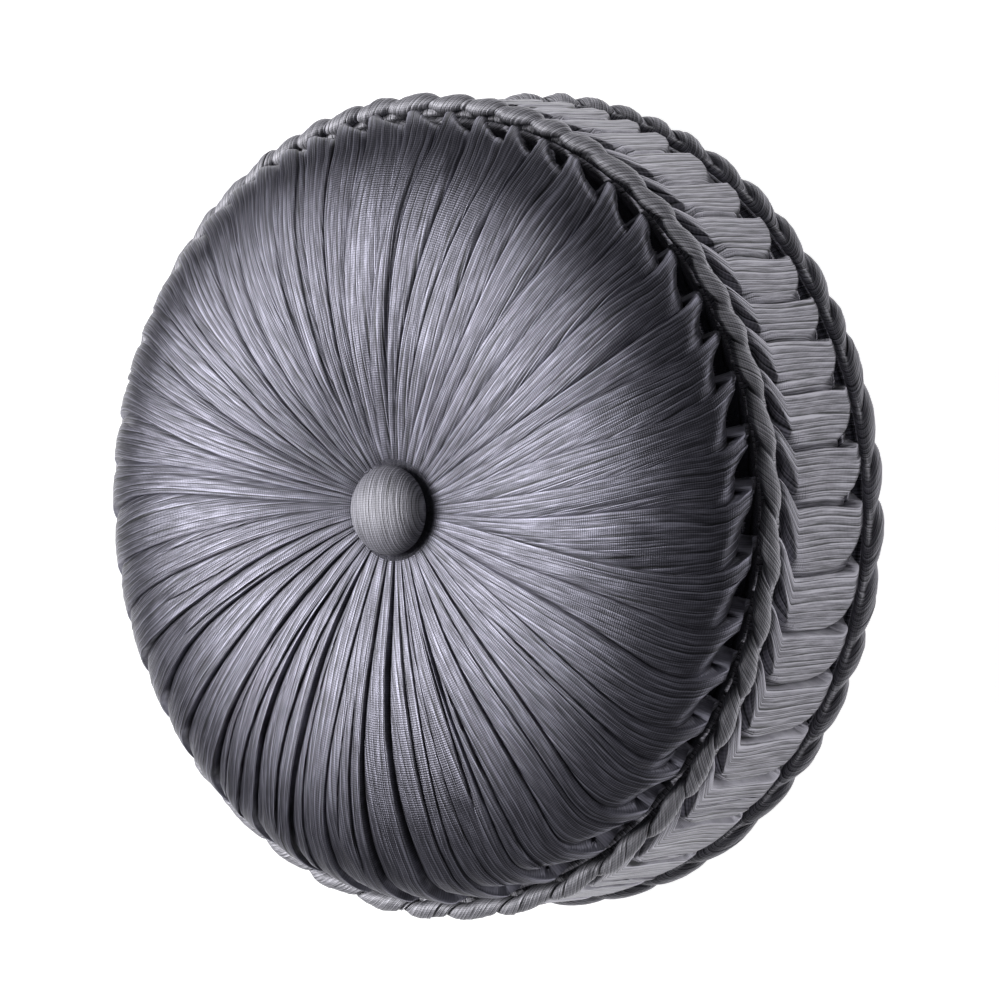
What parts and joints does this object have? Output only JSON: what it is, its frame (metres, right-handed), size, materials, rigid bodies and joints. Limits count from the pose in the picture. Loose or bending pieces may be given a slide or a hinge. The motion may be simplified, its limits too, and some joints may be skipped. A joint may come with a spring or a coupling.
{
  "type": "round tufted cushion",
  "caption": "Round boxed cushion with a pleated, tufted face and a covered button, a pleated side band and a ruched welt along each edge.",
  "frame": {"origin": "middle of the footprint, on the surface that the cushion's back rests on", "axes": "+Z out of the pleated face; the back lies on z = 0"},
  "size_m": [0.38, 0.3797, 0.1555],
  "materials": {
    "panel_cloth": "satin striped weave, charcoal grey",
    "band_cloth": "satin striped weave, charcoal grey",
    "welt_cloth": "satin striped weave, charcoal grey, ruched",
    "button_cloth": "satin striped weave, charcoal grey, stretched over a button"
  },
  "bodies": {
    "root": {"cushion_body": "panel_cloth", "boxing_band": "band_cloth", "front_welt": "welt_cloth", "back_welt": "welt_cloth", "front_button": "button_cloth"}
  },
  "joints": []
}
